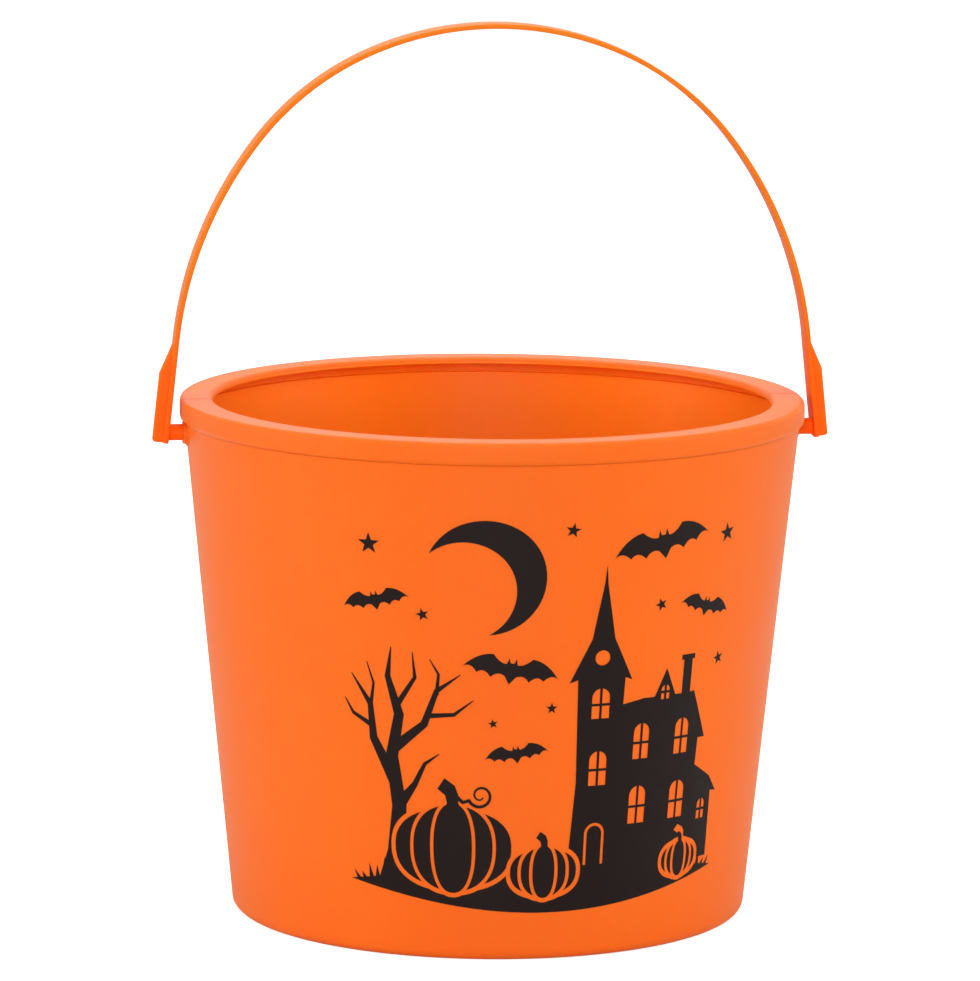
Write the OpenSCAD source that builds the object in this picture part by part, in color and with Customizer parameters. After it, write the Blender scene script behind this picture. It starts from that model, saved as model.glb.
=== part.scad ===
// Round plastic treat pail with a swing-over strap handle, printed on the front in one colour.
// The origin is the middle of the base, on the surface that the pail stands on. +Z is up.
// The handle hinges about a line along X, and the print faces -Y.

/* [Pail] */
// Outside diameter of the rim
rim_d = 235; // [205:1:270]
// Height from the base to the top of the rim
pail_h = 195; // [160:1:230]
// How far the rim stands out from the wall below it
rim_step = 1.9; // [1.8:0.1:4]
// Outside diameter of the wall at the base, before its edge is rounded
base_d = 193.5; // [170:0.5:205]
// Thickness of the moulded wall
wall_t = 1.4; // [1:0.1:2.2]
// Thickness of the floor
floor_t = 1.8; // [1.2:0.1:4]
// Rounding between the floor and the wall, outside
base_r = 4.4; // [2.5:0.1:8]
// Rounding between the floor and the wall, inside
floor_r = 3; // [1:0.1:6]
// Width of the ring that the pail stands on
foot_w = 8; // [4:0.5:20]
// Height of the floor's underside above that ring
foot_rise = 1.2; // [0.6:0.1:2.5]

/* [Rim] */
// Height of the rim's outer band
rim_h = 8.5; // [7:0.1:12]
// Width of the flat lip, from the rim's outside to the mouth
lip_w = 12.5; // [9:0.1:18]
// Thickness of the lip
lip_t = 2.4; // [2:0.1:3]
// Rounding of the lip where it turns into the mouth
lip_r = 2.2; // [1:0.1:2.4]
// Rounding of the band's upper edge
band_top_r = 1.8; // [0.8:0.1:2.4]
// Rounding of the band's lower edge
band_low_r = 2.3; // [0.8:0.1:3]

/* [Ears] */
// Depth of the hinge line below the top of the rim
hinge_drop = 12.5; // [10:0.5:20]
// Diameter of the round boss about each ear hole
ear_d = 8.8; // [8.2:0.1:12]
// How far a boss stands out from the wall at the hinge line
ear_proud = 1.5; // [0.6:0.05:3]

/* [Handle] */
// Height of the arch, from the hinge line to the middle of the strap at its top
arch_h = 152.2; // [130:0.1:180]
// Gap between the rim and the strap, measured level with the hinge line
strap_gap = 4.5; // [3:0.1:8]
// Width of the strap
strap_w = 12; // [9:0.1:14]
// Thickness of the strap
strap_t = 1.8; // [1.5:0.1:3]
// How far the strap's flat foot lies below the hinge line
foot_low = 3.6; // [3.3:0.1:4.6]
// How far the straight legs lean inwards as they rise
leg_lean = 6; // [0:0.5:10]

/* [Ribs] */
// Height of the rib's top above the hinge line, which is where the leg ends and the arch begins
rib_l = 34.5; // [24:0.5:50]
// How far the rib reaches below the hinge line
rib_low = 3.8; // [3.4:0.1:6]
// Length of the rib's slanted top
rib_slant = 12.5; // [6:0.5:18]
// How far the rib stands out from the strap
rib_proud = 4; // [2:0.1:6]
// Thickness of the rib
rib_t = 4; // [2:0.1:5.5]
// Rounding of the rib's outer edges
rib_edge_r = 1.1; // [0.3:0.1:1.5]
// Rounding of the rib's lower corner
rib_corner_r = 1; // [0.5:0.1:3]

/* [Pegs] */
// Diameter of the peg that turns in the ear
peg_d = 6.2; // [5:0.1:6.4]
// Running gap round the peg in the ear's hole
peg_gap = 0.06; // [0.04:0.01:0.1]
// Diameter of the snap head inside the wall
head_d = 7.6; // [7:0.1:8.4]
// Diameter of the snap head's blunt tip
tip_d = 4.8; // [3:0.1:6]
// Length of the snap head
head_l = 3.6; // [2:0.1:6]
// Play between the snap head and the wall
head_play = 0.3; // [0.2:0.05:0.6]

/* [Print] */
// Height of the print's lowest point above the base
print_low = 18.5; // [14:0.5:30]
// Gap between the print's highest point and the rim's band
print_gap = 21; // [12:0.5:36]
// Turn of the print's middle away from the front, about the pail's axis
print_turn = 5.4; // [-10:0.1:10]
// Thickness of the printed film
ink_t = 0.12; // [0.08:0.01:0.2]
// Gap between the film and the wall, which its adhesive fills
ink_gap = 0.06; // [0.05:0.01:0.1]

/* [Hidden] */
$fn = 96;

// Every cut runs past the surface it opens by this much
overrun = 2;

rim_r = rim_d / 2;
base_out_r = base_d / 2;
wall_top_r = rim_r - rim_step;
band_z = pail_h - rim_h;
floor_z = foot_rise + floor_t;
lip_z = pail_h - lip_t;
mouth_r = rim_r - lip_w;
draft = atan((wall_top_r - base_out_r) / band_z);
function wall_r(z) = base_out_r + z * tan(draft);

hinge_z = pail_h - hinge_drop;
ear_r = ear_d / 2;
ear_face_x = wall_r(hinge_z) + ear_proud;
peg_r = peg_d / 2;
head_r = head_d / 2;
tip_r = tip_d / 2;
// The snap head's shoulder clears the curved, sloping wall at the edge nearest to it
wall_near_r = wall_r(hinge_z - head_r) - wall_t;
shoulder_x = sqrt(wall_near_r * wall_near_r - head_r * head_r) - head_play;

// The arch is a straight leg and three arcs on each side. The angles are measured from upright,
// and the two radii are the ones that reach the middle at the arch's full height.
half_span = rim_r + strap_gap + strap_t / 2;
// The strap's ends are rounded about the hinge line by a circle a little wider than the strap
end_share = 1.05;
end_r = end_share * strap_w / 2;
side_end = 38;
shoulder_end = 66;
crown_share = 1.1;
leg_top = [half_span - rib_l * sin(leg_lean), hinge_z + rib_l * cos(leg_lean)];
rise = hinge_z + arch_h - leg_top[1];
side_across = cos(leg_lean) - cos(side_end);
side_up = sin(side_end) - sin(leg_lean);
shoulder_across = cos(side_end) - cos(shoulder_end) + crown_share * cos(shoulder_end);
shoulder_up = sin(shoulder_end) - sin(side_end) + crown_share * (1 - sin(shoulder_end));
fit = side_across * shoulder_up - shoulder_across * side_up;
side_r = (leg_top[0] * shoulder_up - shoulder_across * rise) / fit;
shoulder_r = (side_across * rise - leg_top[0] * side_up) / fit;
crown_r = crown_share * shoulder_r;
function heading(angle) = [cos(angle), sin(angle)];
// Turn between neighbouring points of an arc
arc_step = 2;
side_c = leg_top - side_r * heading(leg_lean);
shoulder_c = side_c + (side_r - shoulder_r) * heading(side_end);
crown_c = shoulder_c + (shoulder_r - crown_r) * heading(shoulder_end);
leg_foot = [half_span + (end_r + overrun) * sin(leg_lean), hinge_z - (end_r + overrun) * cos(leg_lean)];

// Places along the middle of the strap, each with the angle that its outer face looks towards
function arc_places(centre, radius, from, to) =
    let (count = ceil((to - from) / arc_step))
    [for (i = [1 : count])
        let (angle = from + (to - from) * i / count)
        [centre + radius * heading(angle), angle]];
right_places = concat(
    [[leg_foot, leg_lean], [leg_top, leg_lean]],
    arc_places(side_c, side_r, leg_lean, side_end),
    arc_places(shoulder_c, shoulder_r, side_end, shoulder_end),
    arc_places(crown_c, crown_r, shoulder_end, 90)
);
left_places = [for (i = [len(right_places) - 2 : -1 : 0])
    [[-right_places[i][0][0], right_places[i][0][1]], 180 - right_places[i][1]]];
places = concat(right_places, left_places);

// The print is laid out on a square sheet, whose middle is its origin. The drawing reaches from
// low_share to top_share of the sheet's width, and the sheet is as wide as that height asks for.
low_share = -0.47;
top_share = 0.46;
sheet_w = (band_z - print_gap - print_low) / (top_share - low_share);
sheet_z = print_low - low_share * sheet_w;
// Turn about the pail's axis over the whole width of the sheet
sheet_turn = sheet_w / wall_r(sheet_z) * 180 / PI;

// Height of the ground's two ends, and how far its edges rise and sag between them
ground_end_share = -0.405;
ground_rise_share = 0.05;
ground_sag_share = 0.065;
// Width of a blade of grass at its foot, and how deep the foot is sunk in the ground
grass_w_share = 0.014;
grass_sunk_share = 0.006;
// Each blade: distance from the middle of the sheet, height, and lean away from the middle
blade_shares = [
    [0.475, 0.024, 0.016], [0.459, 0.019, 0.011], [0.443, 0.038, 0.006], [0.427, 0.033, 0.001],
    [0.411, 0.052, -0.004], [0.395, 0.047, -0.009], [0.379, 0.066, -0.014]
];

// Places along each limb of the tree, with the limb's width there
tree_shares = [
    [[-0.385, -0.4, 0.075], [-0.375, -0.33, 0.046], [-0.365, -0.22, 0.036], [-0.38, -0.1, 0.031],
        [-0.36, 0, 0.024], [-0.385, 0.09, 0.014], [-0.375, 0.16, 0.002]],
    [[-0.375, -0.16, 0.03], [-0.425, -0.06, 0.02], [-0.43, 0.02, 0.014], [-0.475, 0.09, 0.002]],
    [[-0.43, -0.03, 0.012], [-0.475, -0.005, 0.008], [-0.495, 0.03, 0.002]],
    [[-0.372, -0.08, 0.026], [-0.3, -0.02, 0.018], [-0.27, 0.06, 0.012], [-0.215, 0.1, 0.002]],
    [[-0.29, 0, 0.012], [-0.23, 0.005, 0.009], [-0.185, 0.04, 0.002]],
    [[-0.365, 0.02, 0.014], [-0.32, 0.09, 0.009], [-0.325, 0.15, 0.002]],
    [[-0.367, -0.22, 0.03], [-0.325, -0.165, 0.014], [-0.3, -0.115, 0.009], [-0.265, -0.09, 0.002]],
    [[-0.27, 0.05, 0.01], [-0.265, 0.1, 0.006], [-0.285, 0.135, 0.002]],
    [[-0.43, 0.01, 0.01], [-0.42, 0.07, 0.006], [-0.435, 0.12, 0.002]]
];

// Outline of the house: tower and spire, roof with a dormer and a chimney, low annex
house_shares = [
    [0.045, -0.38], [0.06, -0.16], [0.055, 0.085], [0.035, 0.078], [0.085, 0.18], [0.108, 0.31],
    [0.112, 0.355], [0.116, 0.31], [0.14, 0.18], [0.19, 0.078], [0.172, 0.085], [0.17, 0.02],
    [0.225, 0.03], [0.255, 0.03], [0.285, 0.095], [0.315, 0.03], [0.335, 0.03], [0.335, 0.11],
    [0.328, 0.11], [0.328, 0.122], [0.368, 0.122], [0.368, 0.11], [0.361, 0.11], [0.361, 0.03],
    [0.375, 0.032], [0.425, -0.085], [0.402, -0.085], [0.4, -0.15], [0.46, -0.185],
    [0.492, -0.225], [0.47, -0.222], [0.475, -0.38]
];
// Each window: middle and sill, width and height
window_shares = [
    [0.113, -0.01, 0.044, 0.072], [0.113, -0.17, 0.044, 0.082], [0.225, -0.115, 0.042, 0.085],
    [0.285, 0.022, 0.024, 0.034], [0.345, -0.115, 0.042, 0.085], [0.345, -0.27, 0.046, 0.09],
    [0.437, -0.285, 0.028, 0.048], [0.225, -0.27, 0.046, 0.09]
];
glazing_bar_share = 0.006;
// Height of the cross bar above the sill, in heights of the window
cross_bar_share = 0.42;
round_window_shares = [0.112, 0.135, 0.036];
door_shares = [0.113, -0.36, 0.052, 0.1];
door_line_share = 0.007;

// Middle and radius of the moon, and the circle that bites into it, in radii of the moon
moon_shares = [-0.16, 0.33, 0.135];
moon_turn = 215;
bite_r_share = 0.86;
bite_shift_share = 0.42;

// Middle and radius of each star, and its turn
star_shares = [
    [-0.42, 0.4, 0.026, 0], [-0.3, 0.24, 0.016, 15], [0.03, 0.44, 0.018, -10],
    [0.44, 0.4, 0.024, 8], [0.255, 0.25, 0.016, 20], [-0.005, 0.02, 0.014, 0],
    [0.45, 0.1, 0.017, 12], [-0.14, -0.015, 0.012, 10]
];
star_waist_share = 0.4;

// Half of a bat of span 1: its head, then for each edge of the wing the point that the edge
// is drawn towards and the point where it ends
bat_head_shares = [[0, 0.062], [0.022, 0.066], [0.036, 0.118], [0.056, 0.05]];
bat_wing_shares = [
    [[0.13, 0.045], [0.205, 0.135]],
    [[0.37, 0.125], [0.5, -0.045]],
    [[0.425, 0.015], [0.35, -0.085]],
    [[0.28, -0.015], [0.2, -0.115]],
    [[0.14, -0.035], [0.06, -0.08]]
];
bat_tail_share = -0.165;
// Middle and span of each bat, and its turn
bat_shares = [
    [-0.1, 0.115, 0.22, -9], [0.25, 0.4, 0.25, 10], [0.39, 0.235, 0.16, -14],
    [-0.41, 0.27, 0.16, 12], [-0.085, -0.085, 0.15, 8]
];

// Width and height of each pair of a pumpkin's ribs, the outermost pair first
lobe_shares = [[1, 0.88], [0.68, 0.96], [0.33, 1]];
// Below 1, this squares the ribs' outline out
lobe_fullness_share = 0.86;
stem_shares = [
    [-0.1, 0.4], [-0.045, 0.5], [-0.06, 0.59], [-0.125, 0.66], [-0.065, 0.78], [0.02, 0.7],
    [0.05, 0.6], [0.05, 0.5], [0.11, 0.4]
];
// Bare line between neighbouring ribs, and round the whole pumpkin
groove_share = 0.0085;
halo_share = 0.011;
// Middle, width and height of each pumpkin
pumpkin_shares = [
    [-0.235, -0.315, 0.285, 0.215], [-0.012, -0.372, 0.165, 0.125],
    [0.372, -0.372, 0.115, 0.085]
];
// Tendril: its stalk, then the middle, radius and width of its curl, which winds inwards
stalk_shares = [[-0.226, -0.19, 0.01], [-0.21, -0.204, 0.009], [-0.194, -0.199, 0.008]];
curl_shares = [-0.168, -0.187, 0.03, 0.008];
curl_turns = 1.35;
curl_start = 200;
curl_end_share = 0.25;
curl_tip_share = 0.4;

// Half-section of a drafted cup, from the axis out to a wall that stands low_r from it at low_z
module cup_section(low_r, low_z, high_z, corner_r) {
    corner_x = low_r + corner_r * tan(draft) - corner_r / cos(draft);
    corner_z = low_z + corner_r;
    polygon([
        [0, low_z],
        [corner_x, low_z],
        [corner_x + corner_r * cos(draft), corner_z - corner_r * sin(draft)],
        [low_r + (high_z - low_z) * tan(draft), high_z],
        [0, high_z]
    ]);
    translate([corner_x, corner_z])
        circle(r = corner_r);
}

// Half-section of a round disc with its lower and upper outer edges rounded
module disc_section(out_r, low_z, high_z, low_edge_r, high_edge_r) {
    polygon([
        [0, low_z],
        [out_r - low_edge_r, low_z],
        [out_r, low_z + low_edge_r],
        [out_r, high_z - high_edge_r],
        [out_r - high_edge_r, high_z],
        [0, high_z]
    ]);
    translate([out_r - low_edge_r, low_z + low_edge_r])
        circle(r = low_edge_r);
    translate([out_r - high_edge_r, high_z - high_edge_r])
        circle(r = high_edge_r);
}

// Half-section of the hollow, which follows the wall up and widens inside the rim's band
module hollow_section() {
    cup_section(wall_r(floor_z) - wall_t, floor_z, lip_z, floor_r);
    disc_section(rim_r - wall_t, band_z + wall_t, lip_z, wall_t / 2, wall_t / 2);
    translate([0, lip_z - wall_t])
        square([mouth_r, lip_t + wall_t + overrun]);
}

// What the rounding takes off the lip's edge at the mouth
module lip_rounding_section() {
    difference() {
        translate([mouth_r - overrun, pail_h - lip_r])
            square([lip_r + overrun, lip_r + overrun]);
        translate([mouth_r + lip_r, pail_h - lip_r])
            circle(r = lip_r);
    }
}

// What the raised floor leaves out below it, with a sloping side
module foot_section() {
    foot_in_r = base_out_r - base_r - foot_w;
    polygon([
        [0, -overrun],
        [foot_in_r + overrun, -overrun],
        [foot_in_r - foot_rise, foot_rise],
        [0, foot_rise]
    ]);
}

module ear_boss() {
    root_x = wall_r(hinge_z) - wall_t / 2;
    translate([root_x, 0, hinge_z])
        rotate([0, 90, 0])
            cylinder(r = ear_r, h = ear_face_x - root_x);
}

module pail() {
    color("darkorange")
        difference() {
            union() {
                rotate_extrude()
                    difference() {
                        union() {
                            cup_section(base_out_r, 0, band_z + band_low_r, base_r);
                            disc_section(rim_r, band_z, pail_h, band_low_r, band_top_r);
                        }
                        hollow_section();
                        lip_rounding_section();
                        foot_section();
                    }
                ear_boss();
                mirror([1, 0, 0])
                    ear_boss();
            }
            translate([-rim_r, 0, hinge_z])
                rotate([0, 90, 0])
                    cylinder(r = peg_r + peg_gap, h = rim_d);
        }
}

// The strap is one band, bent to the arch
module strap() {
    outer = [for (place = places) place[0] + strap_t / 2 * heading(place[1])];
    inner = [for (place = places) place[0] - strap_t / 2 * heading(place[1])];
    rotate([90, 0, 0])
        linear_extrude(strap_w, center = true)
            polygon(concat(outer, [for (i = [len(inner) - 1 : -1 : 0]) inner[i]]));
}

// Moves a piece of the right leg from its own frame, where the strap rises along Z, to its place
module at_leg() {
    translate([half_span, 0, hinge_z])
        rotate([0, -leg_lean, 0])
            children();
}

// What is cut from the strap's foot to leave it round about the hinge line, with a flat end
module foot_cut() {
    reach = end_r + 2 * overrun;
    difference() {
        translate([-reach, -reach, -reach])
            cube([2 * reach, 2 * reach, reach]);
        translate([-2 * reach, 0, 0])
            rotate([0, 90, 0])
                cylinder(r = end_r, h = 4 * reach);
    }
    translate([-reach, -reach, -reach - foot_low])
        cube([2 * reach, 2 * reach, reach]);
}

// Side view of the rib, from the middle of the strap outwards. Its slanted top runs into the strap.
module rib_side() {
    out_x = strap_t / 2 + rib_proud;
    polygon([
        [0, -rib_low],
        [out_x - rib_corner_r, -rib_low],
        [out_x, rib_corner_r - rib_low],
        [out_x, rib_l - rib_slant],
        [0, rib_l + strap_t / 2 * rib_slant / rib_proud]
    ]);
    translate([out_x - rib_corner_r, rib_corner_r - rib_low])
        circle(r = rib_corner_r);
}

// The rib seen from above, with its outer edges rounded
module rib_plan() {
    out_x = strap_t / 2 + rib_proud;
    translate([-strap_t, -rib_t / 2])
        square([strap_t + out_x - rib_edge_r, rib_t]);
    translate([-strap_t, rib_edge_r - rib_t / 2])
        square([strap_t + out_x, rib_t - 2 * rib_edge_r]);
    for (y = [rib_edge_r - rib_t / 2, rib_t / 2 - rib_edge_r])
        translate([out_x - rib_edge_r, y])
            circle(r = rib_edge_r);
}

module rib() {
    intersection() {
        rotate([90, 0, 0])
            linear_extrude(2 * rib_t, center = true)
                rib_side();
        translate([0, 0, -strap_w])
            linear_extrude(2 * strap_w + rib_l)
                rib_plan();
    }
}

// The peg turns in the ear: a snap head inside the wall, and a neck that runs out into the strap
module peg() {
    translate([0, 0, hinge_z])
        rotate([0, 90, 0])
            rotate_extrude()
                polygon([
                    [0, shoulder_x - head_l],
                    [tip_r, shoulder_x - head_l],
                    [head_r, shoulder_x],
                    [peg_r, shoulder_x],
                    [peg_r, half_span],
                    [0, half_span]
                ]);
}

module handle() {
    color("orange")
        union() {
            difference() {
                strap();
                at_leg()
                    foot_cut();
                mirror([1, 0, 0])
                    at_leg()
                        foot_cut();
            }
            for (side = [0, 1])
                mirror([side, 0, 0]) {
                    at_leg()
                        rib();
                    peg();
                }
        }
}

// Place on the wall, seen from the front, of a point of the sheet
function on_wall(point) =
    let (z = sheet_z + sheet_w * point[1])
    [wall_r(z) * sin(sheet_turn * point[0]), z];

function placed(points, middle, size, turn = 0) = [for (point = points)
    middle + size * [
        point[0] * cos(turn) - point[1] * sin(turn),
        point[0] * sin(turn) + point[1] * cos(turn)
    ]];

// Points of an edge from one place to another, drawn towards a third. The first is left out.
function edge(from, towards, to, count = 5) = [for (i = [1 : count])
    let (t = i / count)
    (1 - t) * (1 - t) * from + 2 * t * (1 - t) * towards + t * t * to];

function bat_points() =
    let (
        head = bat_head_shares,
        wing = bat_wing_shares,
        half = concat(head, [for (i = [0 : len(wing) - 1])
            each edge(i == 0 ? head[len(head) - 1] : wing[i - 1][1], wing[i][0], wing[i][1])])
    )
    concat(
        half,
        [[0, bat_tail_share]],
        [for (i = [len(half) - 1 : -1 : 1]) [-half[i][0], half[i][1]]]
    );

function star_points(count = 5) = [for (i = [0 : 2 * count - 1])
    let (angle = 90 + 180 * i / count)
    (i % 2 == 0 ? 1 : star_waist_share) * heading(angle)];

// Outline of an ellipse that is squared out a little
function lobe_points(width, height, count = 24, fullness = lobe_fullness_share) = [for (i = [0 : count - 1])
    let (c = cos(360 * i / count), s = sin(360 * i / count))
    [
        width / 2 * sign(c) * pow(abs(c), fullness),
        height / 2 * sign(s) * pow(abs(s), fullness)
    ]];

// Outline of a band that runs through places, each with the band's width there
function band_points(path) =
    let (
        last = len(path) - 1,
        sides = [for (i = [0 : last])
            let (
                from = path[max(i - 1, 0)],
                to = path[min(i + 1, last)],
                along = [to[0] - from[0], to[1] - from[1]] / norm([to[0] - from[0], to[1] - from[1]]),
                side = path[i][2] / 2 * [-along[1], along[0]]
            )
            [[path[i][0], path[i][1]] + side, [path[i][0], path[i][1]] - side]]
    )
    concat([for (pair = sides) pair[0]], [for (i = [last : -1 : 0]) sides[i][1]]);

function curl_path(count = 28) = [for (i = [0 : count])
    let (
        t = i / count,
        angle = curl_start + 360 * curl_turns * t,
        place = curl_shares[2] * (1 - (1 - curl_end_share) * t) * heading(angle)
    )
    [
        curl_shares[0] + place[0],
        curl_shares[1] + place[1],
        curl_shares[3] * (1 - (1 - curl_tip_share) * t)
    ]];

// A bay with a round head, from its sill up
function bay_points(middle, sill, width, height, count = 8) =
    let (spring = sill + height - width / 2)
    concat(
        [[middle + width / 2, sill]],
        [for (i = [0 : count]) [middle, spring] + width / 2 * heading(180 * i / count)],
        [[middle - width / 2, sill]]
    );

function box_points(left, right, low, high) = [[left, low], [right, low], [right, high], [left, high]];

module drawn(points) {
    polygon([for (point = points) on_wall(point)]);
}

module ground(count = 28) {
    places = [for (i = [0 : count]) i / count - 1 / 2];
    drawn(concat(
        [for (u = places) [u, ground_end_share + ground_rise_share * cos(180 * u)]],
        [for (i = [count - 1 : -1 : 1])
            [places[i], ground_end_share - ground_sag_share * cos(180 * places[i])]]
    ));
}

// Blades of grass at both ends of the ground
module grass() {
    for (side = [-1, 1], blade = blade_shares) {
        foot = ground_end_share + ground_rise_share * cos(180 * blade[0]) - grass_sunk_share;
        drawn([
            [side * blade[0] - grass_w_share / 2, foot],
            [side * (blade[0] + blade[2]), foot + blade[1]],
            [side * blade[0] + grass_w_share / 2, foot]
        ]);
    }
}

// The lights of a window, between its bars
module window_lights(window) {
    bar = glazing_bar_share;
    sill = window[1];
    cross = sill + cross_bar_share * window[3];
    difference() {
        drawn(bay_points(window[0], sill, window[2], window[3]));
        drawn(box_points(window[0] - bar / 2, window[0] + bar / 2, sill - bar, sill + window[3] + bar));
        drawn(box_points(window[0] - window[2], window[0] + window[2], cross, cross + bar));
    }
}

module door_line() {
    line = door_line_share;
    difference() {
        drawn(bay_points(door_shares[0], door_shares[1], door_shares[2], door_shares[3]));
        drawn(bay_points(door_shares[0], door_shares[1] - line, door_shares[2] - 2 * line, door_shares[3]));
    }
}

module lobe(pumpkin, i, margin) {
    drawn(placed(
        lobe_points(
            pumpkin[2] * lobe_shares[i][0] + 2 * margin,
            pumpkin[3] * lobe_shares[i][1] + 2 * margin
        ),
        [pumpkin[0], pumpkin[1]],
        1
    ));
}

module stem(pumpkin, margin) {
    drawn([for (share = stem_shares)
        [
            pumpkin[0] + share[0] * (pumpkin[2] + 8 * margin),
            pumpkin[1] + share[1] * (pumpkin[3] + 2 * margin)
        ]]);
}

module pumpkin_halo(pumpkin) {
    for (i = [0 : len(lobe_shares) - 1])
        lobe(pumpkin, i, halo_share);
    stem(pumpkin, halo_share);
}

module pumpkin(pumpkin) {
    last = len(lobe_shares) - 1;
    for (i = [0 : last - 1])
        difference() {
            lobe(pumpkin, i, 0);
            lobe(pumpkin, i + 1, groove_share);
        }
    lobe(pumpkin, last, 0);
    stem(pumpkin, 0);
}

// The new moon: a disc with a smaller disc, shifted to one side, taken off it
module moon(count = 40) {
    disc = [for (i = [0 : count - 1]) heading(360 * i / count)];
    middle = [moon_shares[0], moon_shares[1]];
    difference() {
        drawn(placed(disc, middle, moon_shares[2], moon_turn));
        drawn(placed(
            [for (point = disc) bite_r_share * point + [bite_shift_share, 0]],
            middle,
            moon_shares[2],
            moon_turn
        ));
    }
}

// Everything that the one colour prints, flat
module drawing() {
    difference() {
        union() {
            ground();
            grass();
            for (limb = tree_shares)
                drawn(band_points(limb));
            drawn(house_shares);
        }
        for (window = window_shares)
            window_lights(window);
        drawn(placed(
            lobe_points(round_window_shares[2], round_window_shares[2], fullness = 1),
            [round_window_shares[0], round_window_shares[1]],
            1
        ));
        door_line();
        for (pumpkin = pumpkin_shares)
            pumpkin_halo(pumpkin);
    }
    for (pumpkin = pumpkin_shares)
        pumpkin(pumpkin);
    drawn(band_points(stalk_shares));
    drawn(band_points(curl_path()));
    moon();
    for (star = star_shares)
        drawn(placed(star_points(), [star[0], star[1]], star[2], star[3]));
    for (bat = bat_shares)
        drawn(placed(bat_points(), [bat[0], bat[1]], bat[2], bat[3]));
}

// The film lies on the wall
module front_print() {
    low_z = print_low - overrun;
    high_z = band_z - print_gap + overrun;
    color("black")
        rotate([0, 0, print_turn])
            intersection() {
                rotate_extrude()
                    polygon([
                        [wall_r(low_z) + ink_gap, low_z],
                        [wall_r(low_z) + ink_gap + ink_t, low_z],
                        [wall_r(high_z) + ink_gap + ink_t, high_z],
                        [wall_r(high_z) + ink_gap, high_z]
                    ]);
                rotate([90, 0, 0])
                    linear_extrude(rim_r)
                        drawing();
            }
}

pail();
handle();
front_print();
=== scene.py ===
from math import acos, atan, ceil, cos, degrees, hypot, pi, radians, sin, sqrt, tan

import bmesh
import bpy
from mathutils import Matrix, Vector
from mathutils.geometry import delaunay_2d_cdt


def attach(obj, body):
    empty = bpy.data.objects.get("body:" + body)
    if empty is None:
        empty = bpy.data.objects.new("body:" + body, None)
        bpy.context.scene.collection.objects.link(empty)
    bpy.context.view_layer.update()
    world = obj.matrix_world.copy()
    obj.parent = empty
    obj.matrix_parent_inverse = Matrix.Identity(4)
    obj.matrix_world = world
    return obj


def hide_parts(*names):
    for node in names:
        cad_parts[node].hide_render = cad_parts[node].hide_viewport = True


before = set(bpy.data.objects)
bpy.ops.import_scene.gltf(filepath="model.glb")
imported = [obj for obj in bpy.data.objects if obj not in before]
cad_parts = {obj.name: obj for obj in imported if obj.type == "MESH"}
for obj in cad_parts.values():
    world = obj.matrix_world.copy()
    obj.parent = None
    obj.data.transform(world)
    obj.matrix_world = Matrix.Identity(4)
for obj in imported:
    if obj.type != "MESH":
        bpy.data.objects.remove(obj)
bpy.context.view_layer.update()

scene = bpy.context.scene
mm = 0.001
print("frame loaded:", ", ".join(sorted(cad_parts)))

# The camera stands a little to the left of the printed side and looks slightly down, with a long
# lens. Angles are in degrees, distances in metres, and the lens and the sensor in mm.

cameraSettings = {
    "azimuth": -7.3,
    "elevation": 9.173,
    "roll": 0.533,
    "distance": 2.42309,  # from the point looked at
    "side": -0.00051,  # of that point, to the right of the pail's axis
    "height": 0.15904,  # of that point
    "clip": (0.1, 20.0),
    "lens": 236.09,
    "sensor": 36.0,
}


def placeCamera(settings):
    azimuth, elevation, roll = (radians(settings[key]) for key in ("azimuth", "elevation", "roll"))
    back = Vector((sin(azimuth) * cos(elevation), -cos(azimuth) * cos(elevation), sin(elevation)))
    level = Vector((cos(azimuth), sin(azimuth), 0))
    upright = back.cross(level)
    right = level * cos(roll) + upright * sin(roll)
    up = upright * cos(roll) - level * sin(roll)
    camera = bpy.data.objects.new("camera", bpy.data.cameras.new("camera"))
    camera.data.lens = settings["lens"]
    camera.data.sensor_width = settings["sensor"]
    camera.data.sensor_fit = "HORIZONTAL"
    camera.data.clip_start, camera.data.clip_end = settings["clip"]
    target = Vector((0, 0, settings["height"])) + level * settings["side"]
    place = target + back * settings["distance"]
    turn = Matrix((right, up, back)).transposed().to_4x4()
    camera.matrix_world = Matrix.Translation(place) @ turn
    scene.collection.objects.link(camera)
    scene.camera = camera


placeCamera(cameraSettings)


def linearColour(code):
    # sRGB hex to the linear values that shaders take
    channels = [int(code[i:i + 2], 16) / 255 for i in (1, 3, 5)]
    linear = [c / 12.92 if c <= 0.04045 else ((c + 0.055) / 1.055) ** 2.4 for c in channels]
    return (*linear, 1.0)


def addNode(tree, kind, settings=None, inputs=None):
    # inputs: values, or the sockets that are linked in
    node = tree.nodes.new(kind)
    for key, value in (settings or {}).items():
        setattr(node, key, value)
    for key, value in (inputs or {}).items():
        if isinstance(value, bpy.types.NodeSocket):
            tree.links.new(value, node.inputs[key])
        else:
            node.inputs[key].default_value = value
    return node


def newMaterial(name):
    material = bpy.data.materials.new(name)
    material.use_nodes = True
    material.node_tree.nodes.clear()
    return material, material.node_tree


def finishMaterial(tree, shader):
    addNode(tree, "ShaderNodeOutputMaterial", inputs={"Surface": shader.outputs[0]})


# Blow-moulded high-density polyethylene, dyed through: a satin skin with a fine pebble from the
# blasted mould, soft broad highlights, and a tint that drifts slightly where the melt flowed
pailFinish = {
    "tint": "#FB731C",
    "deepTint": "#F96D18",
    "paintedInsideLight": "#FF8610",  # painted light: the inside, which less light reaches, is drawn a shade lighter
    "ior": 1.54,
    "specularLevel": 0.13,
    "roughness": (0.42, 0.5),
    "pebble": 0.55,  # mm across one pebble
    "pebbleHeight": 0.004,  # mm
    "cloud": 45.0,  # mm across a drift of tint
    "glow": 0.5,
    "glowReach": 2.0,  # mm that light travels under the skin
}

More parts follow.
